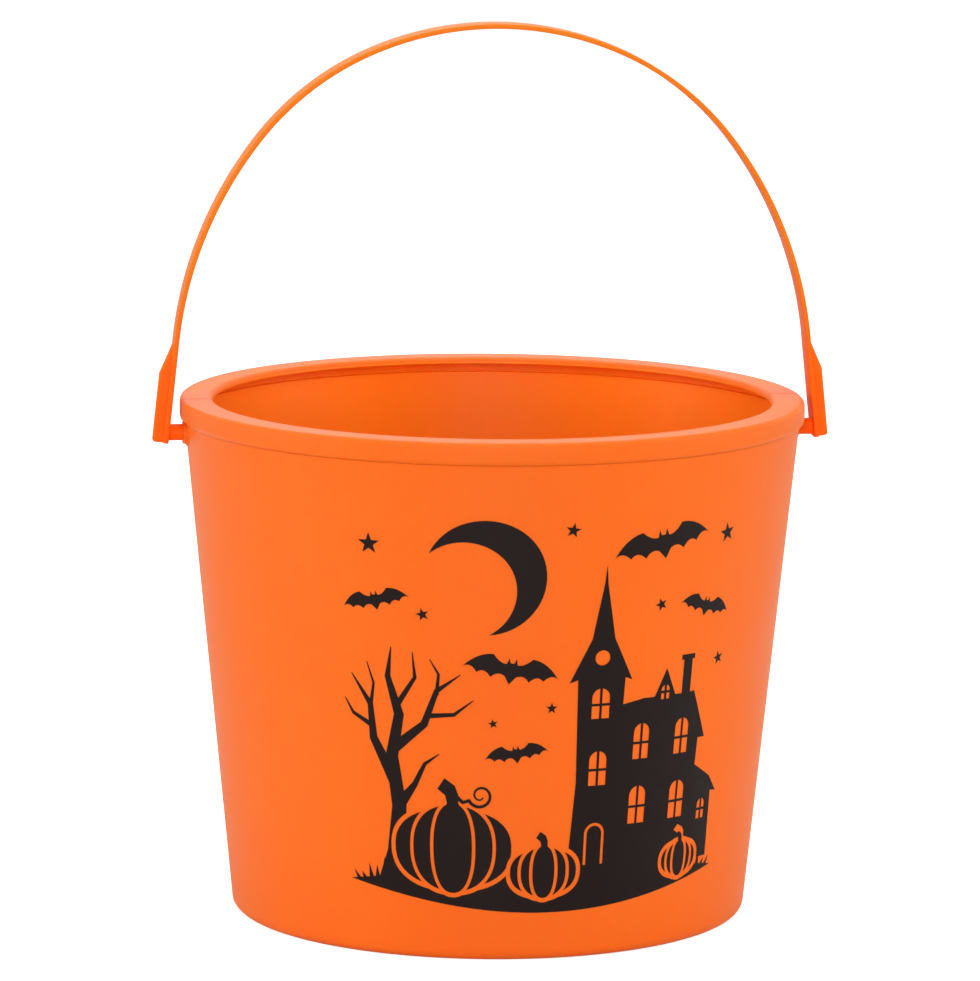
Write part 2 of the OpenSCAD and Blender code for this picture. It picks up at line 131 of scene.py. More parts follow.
# Injection-moulded polyethylene: glossier than the pail, with a tint that drifts along the strap
handleFinish = {
    "tint": "#F3801C",
    "deepTint": "#EE7A18",
    "paintedFootShade": "#FA6408",  # painted shade: the thick feet are drawn a deeper orange, standing in for the light they let through less than the thin strap
    "paintedShadeFade": (188.0, 250.0),  # mm above the base, over which the painted shade fades out
    "ior": 1.54,
    "specularLevel": 0.06,
    "roughness": (0.38, 0.48),
    "pebble": 0.4,
    "pebbleHeight": 0.002,
    "cloud": 18.0,
    "glow": 0.08,
    "glowReach": 1.0,
}

# Heat-transfer film with black pigment: almost black, a little warm, with a dry satin face
filmFinish = {
    "tint": "#120805",
    "deepTint": "#180B07",
    "ior": 1.5,
    "specularLevel": 0.15,
    "roughness": (0.46, 0.56),
    "pebble": 0.35,
    "pebbleHeight": 0.0015,
    "cloud": 6.0,
    "glow": 0.0,
}

noiseSpan = (0.3, 0.7)  # most of a noise's values lie between these
cloudNoise = {"Detail": 3.0, "Roughness": 0.45}
pebbleNoise = {"Detail": 2.0, "Roughness": 0.5}
glowSpread = (1.0, 0.35, 0.1)  # under an orange skin red light travels furthest, and blue hardly
# a Mix node's colour sockets share their names with its others, so they go by their places
firstColour, secondColour, mixedColour = 6, 7, 2


def plasticMaterial(name, finish, makePaintedLightMask=None):
    material, tree = newMaterial(name)
    place = addNode(tree, "ShaderNodeTexCoord").outputs["Object"]
    cloud = addNode(tree, "ShaderNodeTexNoise", inputs={
        "Vector": place, "Scale": 1 / (finish["cloud"] * mm), **cloudNoise})
    tint = addNode(tree, "ShaderNodeMix", {"data_type": "RGBA"}, {
        "Factor": cloud.outputs["Fac"], firstColour: linearColour(finish["deepTint"]),
        secondColour: linearColour(finish["tint"])})
    # painted shade: a deeper orange low on the handle's feet, fading out up the legs
    if "paintedFootShade" in finish:
        height = addNode(tree, "ShaderNodeSeparateXYZ", inputs={0: place})
        lowEnd, highEnd = finish["paintedShadeFade"]
        fade = addNode(tree, "ShaderNodeMapRange", {"interpolation_type": "SMOOTHSTEP"}, {
            "Value": height.outputs["Z"], "From Min": lowEnd * mm, "From Max": highEnd * mm})
        tint = addNode(tree, "ShaderNodeMix", {"data_type": "RGBA"}, {
            "Factor": fade.outputs[0], firstColour: linearColour(finish["paintedFootShade"]),
            secondColour: tint.outputs[mixedColour]})
    # painted light: the inside of the pail is given a lighter orange, standing in for light that
    # does not reach it
    if makePaintedLightMask:
        tint = addNode(tree, "ShaderNodeMix", {"data_type": "RGBA"}, {
            "Factor": makePaintedLightMask(tree, place), firstColour: linearColour(finish["paintedInsideLight"]),
            secondColour: tint.outputs[mixedColour]})
    pebble = addNode(tree, "ShaderNodeTexNoise", inputs={
        "Vector": place, "Scale": 1 / (finish["pebble"] * mm), **pebbleNoise})
    lowRoughness, highRoughness = finish["roughness"]
    rough = addNode(tree, "ShaderNodeMapRange", inputs={
        "Value": cloud.outputs["Fac"], "From Min": noiseSpan[0], "From Max": noiseSpan[1],
        "To Min": lowRoughness, "To Max": highRoughness})
    bump = addNode(tree, "ShaderNodeBump", inputs={
        "Strength": 1.0, "Distance": finish["pebbleHeight"] * mm, "Height": pebble.outputs["Fac"]})
    shader = addNode(tree, "ShaderNodeBsdfPrincipled", inputs={
        "Base Color": tint.outputs[mixedColour], "Roughness": rough.outputs[0],
        "IOR": finish["ior"], "Specular IOR Level": finish["specularLevel"],
        "Normal": bump.outputs[0]})
    if finish["glow"]:
        shader.inputs["Subsurface Weight"].default_value = finish["glow"]
        shader.inputs["Subsurface Radius"].default_value = glowSpread
        shader.inputs["Subsurface Scale"].default_value = finish["glowReach"] * mm
    finishMaterial(tree, shader)
    return material


handlePlastic = plasticMaterial("injectionMouldedPolyethylene", handleFinish)
printFilm = plasticMaterial("transferFilm", filmFinish)
print("materials made")


def linkMesh(name, points, edges=(), faces=()):
    mesh = bpy.data.meshes.new(name)
    mesh.from_pydata([Vector(p) for p in points], list(edges), list(faces))
    piece = bpy.data.objects.new(name, mesh)
    scene.collection.objects.link(piece)
    return piece


def runTree(piece, tree, values):
    # values by the names of the tree's inputs; the result is a plain mesh
    modifier = piece.modifiers.new("shape", "NODES")
    modifier.node_group = tree
    for socket in tree.interface.items_tree:
        if socket.in_out == "INPUT" and socket.name in values:
            modifier[socket.identifier] = values[socket.name]
    graph = bpy.context.evaluated_depsgraph_get()
    mesh = bpy.data.meshes.new_from_object(piece.evaluated_get(graph))
    piece.modifiers.remove(modifier)
    old = piece.data
    piece.data = mesh
    mesh.name = piece.name
    bpy.data.meshes.remove(old)


mergeDistance = 0.0005 * mm
shortestEdge = 0.0002 * mm
creaseAngle = 38.0  # degrees, past which a fold shows as an edge


def cleanMesh(piece, shaded=False):
    # merged, with normals outwards, and with smooth shading between its creases if asked
    shape = bmesh.new()
    shape.from_mesh(piece.data)
    bmesh.ops.remove_doubles(shape, verts=shape.verts, dist=mergeDistance)
    bmesh.ops.dissolve_degenerate(shape, edges=shape.edges, dist=shortestEdge)
    bmesh.ops.recalc_face_normals(shape, faces=shape.faces)
    shape.to_mesh(piece.data)
    shape.free()
    if shaded:
        piece.data.shade_smooth()
        piece.data.set_sharp_from_angle(angle=radians(creaseAngle))


def newTree(name, inputs):
    # inputs: the kind of each one by its name
    tree = bpy.data.node_groups.new(name, "GeometryNodeTree")
    for label, kind in inputs.items():
        tree.interface.new_socket(label, in_out="INPUT", socket_type="NodeSocket" + kind)
    tree.interface.new_socket("Shape", in_out="OUTPUT", socket_type="NodeSocketGeometry")
    return tree, addNode(tree, "NodeGroupInput").outputs


def finishTree(tree, shape, finish):
    realized = addNode(tree, "GeometryNodeRealizeInstances", inputs={"Geometry": shape})
    finished = addNode(tree, "GeometryNodeSetMaterial", inputs={
        "Geometry": realized.outputs[0], "Material": finish})
    addNode(tree, "NodeGroupOutput", inputs={"Shape": finished.outputs[0]})


closeDistance = 0.001 * mm  # within which a turned shape closes on itself and at its poles


def makeTurnedTree():
    # turns a profile, drawn from axis to axis in the XZ plane, about Z
    tree, given = newTree("turnedShape", {
        "Profile": "Geometry", "Steps": "Int", "Finish": "Material"})
    size = addNode(tree, "GeometryNodeAttributeDomainSize", inputs={"Geometry": given["Profile"]})
    rows = size.outputs["Point Count"]
    columns = addNode(tree, "FunctionNodeIntegerMath", {"operation": "ADD"}, {
        0: given["Steps"], 1: 1})
    grid = addNode(tree, "GeometryNodeMeshGrid", inputs={
        "Size X": 1.0, "Size Y": 1.0, "Vertices X": columns.outputs[0], "Vertices Y": rows})
    index = addNode(tree, "GeometryNodeInputIndex").outputs[0]
    row = addNode(tree, "FunctionNodeIntegerMath", {"operation": "MODULO"}, {0: index, 1: rows})
    column = addNode(tree, "FunctionNodeIntegerMath", {"operation": "DIVIDE_FLOOR"}, {
        0: index, 1: rows})
    along = addNode(tree, "GeometryNodeInputPosition").outputs[0]
    sampling = {"data_type": "FLOAT_VECTOR", "domain": "POINT"}
    place = addNode(tree, "GeometryNodeSampleIndex", sampling, {
        "Geometry": given["Profile"], "Value": along, "Index": row.outputs[0]})
    share = addNode(tree, "ShaderNodeMath", {"operation": "DIVIDE"}, {
        0: column.outputs[0], 1: given["Steps"]})
    angle = addNode(tree, "ShaderNodeMath", {"operation": "MULTIPLY"}, {
        0: share.outputs[0], 1: 2 * pi})
    turned = addNode(tree, "ShaderNodeVectorRotate", {"rotation_type": "Z_AXIS"}, {
        "Vector": place.outputs[0], "Angle": angle.outputs[0]})
    shaped = addNode(tree, "GeometryNodeSetPosition", inputs={
        "Geometry": grid.outputs["Mesh"], "Position": turned.outputs[0]})
    closed = addNode(tree, "GeometryNodeMergeByDistance", inputs={
        "Geometry": shaped.outputs[0], "Distance": closeDistance})
    finishTree(tree, closed.outputs[0], given["Finish"])
    return tree


def makePairTree():
    # fuses fittings to both sides of a piece, half a turn apart, and then cuts both sides
    tree, given = newTree("pairedFittings", {
        "Piece": "Geometry", "Fitting": "Object", "Second Fitting": "Object",
        "Cutter": "Object", "Sides": "Int", "Finish": "Material"})
    index = addNode(tree, "GeometryNodeInputIndex").outputs[0]
    turn = addNode(tree, "ShaderNodeMath", {"operation": "MULTIPLY"}, {0: index, 1: pi})
    rotation = addNode(tree, "ShaderNodeCombineXYZ", inputs={"Z": turn.outputs[0]})
    centres = addNode(tree, "GeometryNodePoints", inputs={"Count": given["Sides"]})
    copies = {}
    for name in ("Fitting", "Second Fitting", "Cutter"):
        shape = addNode(tree, "GeometryNodeObjectInfo", inputs={"Object": given[name]})
        placed = addNode(tree, "GeometryNodeInstanceOnPoints", inputs={
            "Points": centres.outputs[0], "Instance": shape.outputs["Geometry"],
            "Rotation": rotation.outputs[0]})
        realized = addNode(tree, "GeometryNodeRealizeInstances", inputs={
            "Geometry": placed.outputs[0]})
        copies[name] = realized.outputs[0]
    fused = addNode(tree, "GeometryNodeMeshBoolean", {
        "operation": "UNION", "solver": "MANIFOLD"})
    for shape in (given["Piece"], copies["Fitting"], copies["Second Fitting"]):
        tree.links.new(shape, fused.inputs["Mesh 2"])
    bored = addNode(tree, "GeometryNodeMeshBoolean", {
        "operation": "DIFFERENCE", "solver": "MANIFOLD"}, {
        "Mesh 1": fused.outputs[0], "Mesh 2": copies["Cutter"]})
    finishTree(tree, bored.outputs[0], given["Finish"])
    return tree


def makeStrapTree():
    # sweeps a rectangle with rounded edges along a path in the XZ plane, narrowed by widthShare
    tree, given = newTree("sweptStrap", {
        "Path": "Geometry", "Width": "Float", "Thickness": "Float", "Edge Radius": "Float",
        "Edge Steps": "Int", "Finish": "Material"})
    path = addNode(tree, "GeometryNodeMeshToCurve", inputs={"Mesh": given["Path"]})
    section = addNode(tree, "GeometryNodeCurvePrimitiveQuadrilateral", inputs={
        "Width": given["Width"], "Height": given["Thickness"]})
    rounded = addNode(tree, "GeometryNodeFilletCurve", {"mode": "POLY"}, {
        "Curve": section.outputs[0], "Count": given["Edge Steps"], "Radius": given["Edge Radius"]})
    swept = addNode(tree, "GeometryNodeCurveToMesh", inputs={
        "Curve": path.outputs[0], "Profile Curve": rounded.outputs[0], "Fill Caps": True})
    share = addNode(tree, "GeometryNodeInputNamedAttribute", {"data_type": "FLOAT"}, {
        "Name": "widthShare"})
    position = addNode(tree, "GeometryNodeInputPosition").outputs[0]
    place = addNode(tree, "ShaderNodeSeparateXYZ", inputs={0: position})
    across = addNode(tree, "ShaderNodeMath", {"operation": "MULTIPLY"}, {
        0: place.outputs["Y"], 1: share.outputs["Attribute"]})
    narrowed = addNode(tree, "ShaderNodeCombineXYZ", inputs={
        "X": place.outputs["X"], "Y": across.outputs[0], "Z": place.outputs["Z"]})
    shaped = addNode(tree, "GeometryNodeSetPosition", inputs={
        "Geometry": swept.outputs[0], "Position": narrowed.outputs[0]})
    finishTree(tree, shaped.outputs[0], given["Finish"])
    return tree


turnedTree = makeTurnedTree()
pairTree = makePairTree()
strapTree = makeStrapTree()


def arcPoints(centre, radius, start, end, steps):
    # start and end in degrees; both end points are in
    angles = [radians(start + (end - start) * i / steps) for i in range(steps + 1)]
    return [(centre[0] + radius * cos(a), centre[1] + radius * sin(a)) for a in angles]


def linePoints(start, end, steps):
    # the points between two ends, without the ends
    return [(start[0] + (end[0] - start[0]) * i / steps, start[1] + (end[1] - start[1]) * i / steps)
            for i in range(1, steps)]


def turnedPiece(name, profile, steps, finish):
    points = [(r * mm, 0, z * mm) for r, z in profile]
    piece = linkMesh(name, points, [(i, i + 1) for i in range(len(points) - 1)])
    runTree(piece, turnedTree, {"Steps": steps, "Finish": finish})
    cleanMesh(piece)
    return piece


def alongX(piece, height):
    # lays a piece turned about Z along X, at the height of the hinge line
    piece.data.transform(Matrix.Translation((0, 0, height * mm)) @ Matrix.Rotation(pi / 2, 4, "Y"))


pailSizes = {  # mm
    "rimRadius": 117.5,
    "height": 195.0,
    "rimStep": 1.9,  # from the wall out to the rim's band
    "baseRadius": 96.75,
    "wall": 1.4,
    "floor": 1.8,
    "baseRound": 4.4,
    "floorRound": 3.0,
    "footWidth": 8.0,  # of the ring that the pail stands on
    "footRise": 1.2,
    "rimHeight": 8.5,
    "lipWidth": 12.5,
    "lip": 2.4,  # its thickness
    "lipRound": 2.2,
    "bandTopRound": 1.8,
    "bandLowRound": 2.3,
    "cornerDrop": 0.3,  # where the wall ends below the band
    "cornerCut": 0.06,
    "hingeDrop": 12.5,  # below the rim
    "earRadius": 4.4,
    "earProud": 1.5,
    "earFoot": 0.05,  # where the flare starts outside the wall
    "earRound": 0.35,
    "earFlare": 0.8,
    "borePast": 2.0,  # what the ear's cutter runs past both of its faces
    "seamWidth": 0.55,
    "seamHeight": 0.1,
    # how many steps each stretch is drawn in
    "turnSteps": 360,
    "wallSteps": 48,
    "roundSteps": 10,
    "fineSteps": 5,
    "lipSteps": 5,
    "underLipSteps": 4,
    "floorRoundSteps": 8,
    "floorSteps": 12,
    "earSteps": 64,
    "flareSteps": 6,
    "seamSides": 6,
    "seamFade": 4,
}

wallTop = pailSizes["rimRadius"] - pailSizes["rimStep"]
bandLow = pailSizes["height"] - pailSizes["rimHeight"]
lipLow = pailSizes["height"] - pailSizes["lip"]
floorTop = pailSizes["footRise"] + pailSizes["floor"]
hingeHeight = pailSizes["height"] - pailSizes["hingeDrop"]
draft = atan((wallTop - pailSizes["baseRadius"]) / bandLow)


def wallRadius(height):
    return pailSizes["baseRadius"] + height * tan(draft)


def wallCorner(lowRadius, lowHeight, radius):
    # centre of the rounding between a floor and a drafted wall
    return lowRadius + radius * tan(draft) - radius / cos(draft), lowHeight + radius


def outerProfile():
    # from the ring that the pail stands on, up the outside and over the lip to the mouth
    s = pailSizes
    rim, top, steps = s["rimRadius"], s["height"], s["roundSteps"]
    base, low, high, lip = s["baseRound"], s["bandLowRound"], s["bandTopRound"], s["lipRound"]
    mouth = rim - s["lipWidth"]
    points = arcPoints(wallCorner(s["baseRadius"], 0, base), base, -90, -degrees(draft), steps)
    wallEnd = (wallRadius(bandLow - s["cornerDrop"]), bandLow - s["cornerDrop"])
    points += linePoints(points[-1], wallEnd, s["wallSteps"])
    points += [wallEnd, (wallEnd[0] + s["cornerCut"], bandLow - s["cornerCut"])]
    points += arcPoints((rim - low, bandLow + low), low, -90, 0, steps)
    points += arcPoints((rim - high, top - high), high, 0, 90, steps)
    points += linePoints(points[-1], (mouth + lip, top), s["lipSteps"])
    points += arcPoints((mouth + lip, top - lip), lip, 90, 180, steps)
    return points


def innerProfile():
    # from the lip's underside, down the inside to the middle of the floor
    s = pailSizes
    rim, half = s["rimRadius"] - s["wall"], s["wall"] / 2
    ledge = bandLow + s["wall"]
    points = [(s["rimRadius"] - s["lipWidth"], lipLow)]
    points += linePoints(points[0], (rim - half, lipLow), s["underLipSteps"])
    points += arcPoints((rim - half, lipLow - half), half, 90, 0, s["fineSteps"])
    points += arcPoints((rim - half, ledge + half), half, 0, -90, s["fineSteps"])
    points += [(wallRadius(ledge) - s["wall"], ledge)]
    corner = wallCorner(wallRadius(floorTop) - s["wall"], floorTop, s["floorRound"])
    bottom = arcPoints(corner, s["floorRound"], -degrees(draft), -90, s["floorRoundSteps"])
    points += linePoints(points[-1], bottom[0], s["wallSteps"]) + bottom
    points += linePoints(bottom[-1], (0, floorTop), s["floorSteps"]) + [(0, floorTop)]
    return points


def footProfile():
    # the raised underside of the floor, from the middle out to the ring
    s = pailSizes
    ring = s["baseRadius"] - s["baseRound"] - s["footWidth"]
    middle, inside = (0, s["footRise"]), (ring - s["footRise"], s["footRise"])
    return [middle] + linePoints(middle, inside, s["floorSteps"]) + [inside, (ring, 0)]


def tubeFaces(ring, rings):
    # between rings of points that follow each other, with both ends closed
    faces = []
    for i in range(rings - 1):
        for k in range(ring):
            a, b = i * ring + k, i * ring + (k + 1) % ring
            faces.append((a, b, b + ring, a + ring))
    last = ring * (rings - 1)
    return faces + [tuple(range(ring)), tuple(range(last, last + ring))]


def seamBead(path):
    # a low half-round bead along a profile, in the XZ plane, with its foot sunk in the surface
    s = pailSizes
    width, height, sides, last = s["seamWidth"], s["seamHeight"], s["seamSides"], len(path) - 1
    points = []
    for i, (r, z) in enumerate(path):
        before, after = path[max(i - 1, 0)], path[min(i + 1, last)]
        length = hypot(after[0] - before[0], after[1] - before[1])
        out = ((after[1] - before[1]) / length, -(after[0] - before[0]) / length)
        fade = min(1, i / s["seamFade"], (last - i) / s["seamFade"])  # its ends rise from nothing
        for k in range(sides + 1):
            a = pi * k / sides
            lift = height * fade * sin(a) if 0 < k < sides else -height
            points.append((
                (r + out[0] * lift) * mm, width / 2 * cos(a) * mm, (z + out[1] * lift) * mm))
    bead = linkMesh("moulding seam", points, faces=tubeFaces(sides + 1, len(path)))
    cleanMesh(bead)
    return bead


def joinMeshes(piece, others):
    shape = bmesh.new()
    shape.from_mesh(piece.data)
    for other in others:
        shape.from_mesh(other.data)
        bpy.data.objects.remove(other)
    shape.to_mesh(piece.data)
    shape.free()


def outsideMask(tree, place):
    # 1 on the outside, the rim and the underside, 0 on the inside of the wall and the floor, where
    # a lighter orange is painted as light
    s = pailSizes
    half = s["wall"] / 2
    flat = addNode(tree, "ShaderNodeVectorMath", {"operation": "MULTIPLY"}, {
        0: place, 1: (1, 1, 0)})
    radius = addNode(tree, "ShaderNodeVectorMath", {"operation": "LENGTH"}, {0: flat.outputs[0]})
    height = addNode(tree, "ShaderNodeSeparateXYZ", inputs={0: place}).outputs["Z"]
    # the wall's radius less what the draft adds to it by this height
    atBase = addNode(tree, "ShaderNodeMath", {"operation": "MULTIPLY_ADD"}, {
        0: height, 1: -tan(draft), 2: radius.outputs["Value"]})
    inBand = addNode(tree, "ShaderNodeMath", {"operation": "GREATER_THAN"}, {
        0: height, 1: (bandLow + half) * mm})
    limit = addNode(tree, "ShaderNodeMath", {"operation": "MULTIPLY_ADD"}, {
        0: inBand.outputs[0], 1: s["rimStep"] * mm, 2: (s["baseRadius"] - half) * mm})
    skin = addNode(tree, "ShaderNodeMath", {"operation": "GREATER_THAN"}, {
        0: atBase.outputs[0], 1: limit.outputs[0]})
    rim = addNode(tree, "ShaderNodeMath", {"operation": "GREATER_THAN"}, {
        0: height, 1: (lipLow + half) * mm})
    under = addNode(tree, "ShaderNodeMath", {"operation": "LESS_THAN"}, {
        0: height, 1: (floorTop - s["floor"] / 2) * mm})
    either = addNode(tree, "ShaderNodeMath", {"operation": "MAXIMUM"}, {
        0: skin.outputs[0], 1: rim.outputs[0]})
    mask = addNode(tree, "ShaderNodeMath", {"operation": "MAXIMUM"}, {
        0: either.outputs[0], 1: under.outputs[0]})
    return mask.outputs[0]


pailPlastic = plasticMaterial("blowMouldedPolyethylene", pailFinish, outsideMask)

pegSizes = {  # mm, of the handle's two pegs, for which the pail's ears are bored
    "pegRadius": 3.1,
    "runningGap": 0.06,
    "headRadius": 3.8,
    "tipRadius": 2.4,
    "headLength": 3.6,
    "headPlay": 0.3,
    "edge": 0.2,
    "tipCut": 0.12,
    "flank": 0.48,  # from the widest part to the shoulder
    "flankAngle": 20.0,  # degrees, where the shoulder's rounding starts
    "edgeSteps": 4,
    "turnSteps": 48,
}


def makePail():
    s = pailSizes
    outside = outerProfile()
    profile = footProfile() + outside + innerProfile()
    shell = turnedPiece("pailShell", profile, s["turnSteps"], pailPlastic)
    # the ear's boss flares where it meets the wall, and its face has a rounded edge
    wall, ear, edge, spread = wallRadius(hingeHeight), s["earRadius"], s["earRound"], s["earFlare"]
    face, root, foot = wall + s["earProud"], wall - s["wall"] / 2, wall + s["earFoot"]
    flare = [(ear + spread * (1 - sin(a)), foot + spread * (1 - cos(a)))
             for a in (pi / 2 * i / s["flareSteps"] for i in range(s["flareSteps"] + 1))]
    rounding = arcPoints((ear - edge, face - edge), edge, 0, 90, s["fineSteps"])
    profile = [(0, root), (flare[0][0], root)] + flare + rounding + [(0, face)]
    boss = turnedPiece("earBoss", profile, s["earSteps"], pailPlastic)
    alongX(boss, hingeHeight)
    bore = pegSizes["pegRadius"] + pegSizes["runningGap"]
    low, high = root - s["wall"] - s["borePast"], face + s["borePast"]
    profile = [(0, low), (bore, low), (bore, high), (0, high)]
    pin = turnedPiece("earBore", profile, s["earSteps"], pailPlastic)
    alongX(pin, hingeHeight)
    runTree(shell, pairTree, {"Fitting": boss, "Cutter": pin, "Sides": 2, "Finish": pailPlastic})
    for tool in (boss, pin):
        bpy.data.objects.remove(tool)
    # the parting line of the two mould halves runs up both sides and across the lip
    seams = []
    for side in (0, pi):
        bead = seamBead(outside)
        bead.data.transform(Matrix.Rotation(side, 4, "Z"))
        seams.append(bead)
    joinMeshes(shell, seams)
    cleanMesh(shell, shaded=True)
    return shell


pail = makePail()
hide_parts("pail")
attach(pail, "pail_body")
print("pail made:", len(pail.data.polygons), "faces")

handleSizes = {  # mm, and degrees for the angles
    "archHeight": 152.2,  # above the hinge line
    "strapGap": 4.5,  # from the rim out to the strap
    "strapWidth": 12.0,
    "strap": 1.8,
    "strapEdge": 0.4,
    "endRadius": 6.3,  # of the strap's foot, about the hinge line
    "footLow": 3.6,
    "footEdge": 0.6,
    "lean": 6.0,  # of the legs, an angle
    "legLength": 34.5,
    "sideEnd": 38.0,  # the angles at which the arch changes its radius
    "shoulderEnd": 66.0,
    "crownShare": 1.1,  # of the shoulder's radius
    "archStep": 1.0,  # an angle
    "ribLow": 3.8,  # below the hinge line
    "ribSlant": 12.5,  # the length over which it runs out into the strap
    "ribProud": 4.0,
    "rib": 4.0,  # its width
    "ribEdge": 1.1,
    "ribCorner": 1.0,
    "ribFoot": 0.4,
    # how many steps each stretch is drawn in
    "edgeSteps": 4,
    "footSteps": 14,
    "legSteps": 12,
    "ribCornerSteps": 12,
    "ribFlatSteps": 10,
    "ribSlantSteps": 12,
    "ribEdgeSteps": 5,
}

halfSpan = pailSizes["rimRadius"] + handleSizes["strapGap"] + handleSizes["strap"] / 2


def strapPath():
    # middle of the strap from the right foot over the top to the left foot, as (x, z, width share)
    s = handleSizes
    lean, side, shoulder = radians(s["lean"]), radians(s["sideEnd"]), radians(s["shoulderEnd"])
    share = s["crownShare"]
    legTop = (halfSpan - s["legLength"] * sin(lean), hingeHeight + s["legLength"] * cos(lean))
    rise = hingeHeight + s["archHeight"] - legTop[1]
    # the two radii that bring the arch to the middle at its full height
    sideAcross, sideUp = cos(lean) - cos(side), sin(side) - sin(lean)
    shoulderAcross = cos(side) - cos(shoulder) + share * cos(shoulder)
    shoulderUp = sin(shoulder) - sin(side) + share * (1 - sin(shoulder))
    fit = sideAcross * shoulderUp - shoulderAcross * sideUp
    sideRadius = (legTop[0] * shoulderUp - shoulderAcross * rise) / fit
    shoulderRadius = (sideAcross * rise - legTop[0] * sideUp) / fit
    crownRadius = share * shoulderRadius
    # the foot is rounded about the hinge line, with a flat end
    reach, half, low, edge = s["endRadius"], s["strapWidth"] / 2, s["footLow"], s["footEdge"]
    first, last = acos((low - edge) / reach), acos(sqrt(reach ** 2 - half ** 2) / reach)
    edgeSteps, footSteps, legSteps = s["edgeSteps"], s["footSteps"], s["legSteps"]
    foot = [(low - edge + edge * cos(a), reach * sin(first) - edge * (1 - sin(a)))
            for a in (pi / 2 * i / edgeSteps for i in range(edgeSteps))]
    foot += [(reach * cos(a), reach * sin(a))
             for a in (first + (last - first) * i / footSteps for i in range(footSteps + 1))]
    points = [(halfSpan + drop * sin(lean), hingeHeight - drop * cos(lean), width / half)
              for drop, width in foot + [(0, half)]]
    for i in range(1, legSteps + 1):
        up = s["legLength"] * i / legSteps
        points.append((halfSpan - up * sin(lean), hingeHeight + up * cos(lean), 1.0))
    centre = (legTop[0] - sideRadius * cos(lean), legTop[1] - sideRadius * sin(lean))
    radius, angle = sideRadius, s["lean"]
    arcs = ((shoulderRadius, s["sideEnd"]), (crownRadius, s["shoulderEnd"]), (None, 90.0))
    for nextRadius, end in arcs:
        steps = ceil((end - angle) / s["archStep"])
        points += [(x, z, 1.0) for x, z in arcPoints(centre, radius, angle, end, steps)[1:]]
        if nextRadius:
            shift, turn = radius - nextRadius, radians(end)
            centre = (centre[0] + shift * cos(turn), centre[1] + shift * sin(turn))
            radius, angle = nextRadius, end
    return points + [(-x, z, width) for x, z, width in reversed(points[:-1])]


def makeStrap():
    s = handleSizes
    path = strapPath()
    strap = linkMesh("strapHandle", [(x * mm, 0, z * mm) for x, z, width in path],
                     [(i, i + 1) for i in range(len(path) - 1)])
    shares = strap.data.attributes.new("widthShare", "FLOAT", "POINT")
    shares.data.foreach_set("value", [width for x, z, width in path])
    runTree(strap, strapTree, {
        "Width": s["strapWidth"] * mm, "Thickness": s["strap"] * mm,
        "Edge Radius": s["strapEdge"] * mm, "Edge Steps": s["edgeSteps"],
        "Finish": handlePlastic})
    cleanMesh(strap)
    return strap


def ribSection(out, half):
    # seen from above: from the middle of the strap out to x = out, with two rounded edges
    edge, steps = min(handleSizes["ribEdge"], out / 2), handleSizes["ribEdgeSteps"]
    points = [(0, -half)]
    points += arcPoints((out - edge, edge - half), edge, -90, 0, steps)
    points += arcPoints((out - edge, half - edge), edge, 0, 90, steps)
    return points + [(0, half)]


def makeRib():
    s = handleSizes
    out = s["strap"] / 2 + s["ribProud"]
    low, corner, foot = s["ribLow"], s["ribCorner"], s["ribFoot"]
    slantLow, top = s["legLength"] - s["ribSlant"], s["legLength"]
    slope = s["ribProud"] / s["ribSlant"]
    sunk = s["strap"] / 4 / slope  # the slant runs on into the strap
    turns, flats, slants = s["ribCornerSteps"], s["ribFlatSteps"], s["ribSlantSteps"]
    heights = [corner * (1 - cos(pi / 2 * i / turns)) - low for i in range(turns + 1)]
    heights += [corner - low + (slantLow - corner + low) * i / flats for i in range(1, flats + 1)]
    heights += [slantLow + (top - slantLow + sunk) * i / slants for i in range(1, slants + 1)]
    points = []
    for z in heights:
        lift = z + low
        reach = out
        if lift < corner:
            reach = out - corner + sqrt(max(corner ** 2 - (corner - lift) ** 2, 0))
        if z > slantLow:
            reach = out - (z - slantLow) * slope
        half = s["rib"] / 2
        if lift < foot:
            half -= foot - sqrt(max(foot ** 2 - (foot - lift) ** 2, 0))
        points += [(x * mm, y * mm, z * mm) for x, y in ribSection(reach, half)]
    rings = len(heights)
    rib = linkMesh("rib", points, faces=tubeFaces(len(points) // rings, rings))
    cleanMesh(rib)
    place = Matrix.Translation((halfSpan * mm, 0, hingeHeight * mm))
    rib.data.transform(place @ Matrix.Rotation(-radians(s["lean"]), 4, "Y"))
    return rib


def makePeg():
    # snap head inside the wall, and a neck that runs through the ear into the strap
    p = pegSizes
    edge, cut, tipRadius, head = p["edge"], p["tipCut"], p["tipRadius"], p["headRadius"]
    inside = wallRadius(hingeHeight - head) - pailSizes["wall"]
    shoulder = sqrt(inside ** 2 - head ** 2) - p["headPlay"]
    tip = shoulder - p["headLength"]
    profile = [(0, tip), (tipRadius - 2 * edge, tip), (tipRadius - cut, tip + cut)]
    profile += [(tipRadius, tip + 2 * edge), (head - edge, shoulder - p["flank"])]
    profile += arcPoints((head - edge, shoulder - edge), edge, p["flankAngle"], 90, p["edgeSteps"])
    profile += [(p["pegRadius"], shoulder), (p["pegRadius"], halfSpan), (0, halfSpan)]
    peg = turnedPiece("peg", profile, p["turnSteps"], handlePlastic)
    alongX(peg, hingeHeight)
    return peg


def makeHandle():
    strap = makeStrap()
    rib = makeRib()
    peg = makePeg()
    runTree(strap, pairTree, {
        "Fitting": rib, "Second Fitting": peg, "Sides": 2, "Finish": handlePlastic})
    for tool in (rib, peg):
        bpy.data.objects.remove(tool)
    cleanMesh(strap, shaded=True)
    return strap


handle = makeHandle()
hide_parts("handle")
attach(handle, "handle_body")
print("handle made:", len(handle.data.polygons), "faces")

# One-colour print: an old house, a bare tree, a crescent moon, stars, bats and plain pumpkins,
# drawn on a square sheet whose middle is (0, 0). Places and sizes are shares of the sheet's width.
# Each drawing function yields outlines, the lowest first, with True for film and False for a gap.

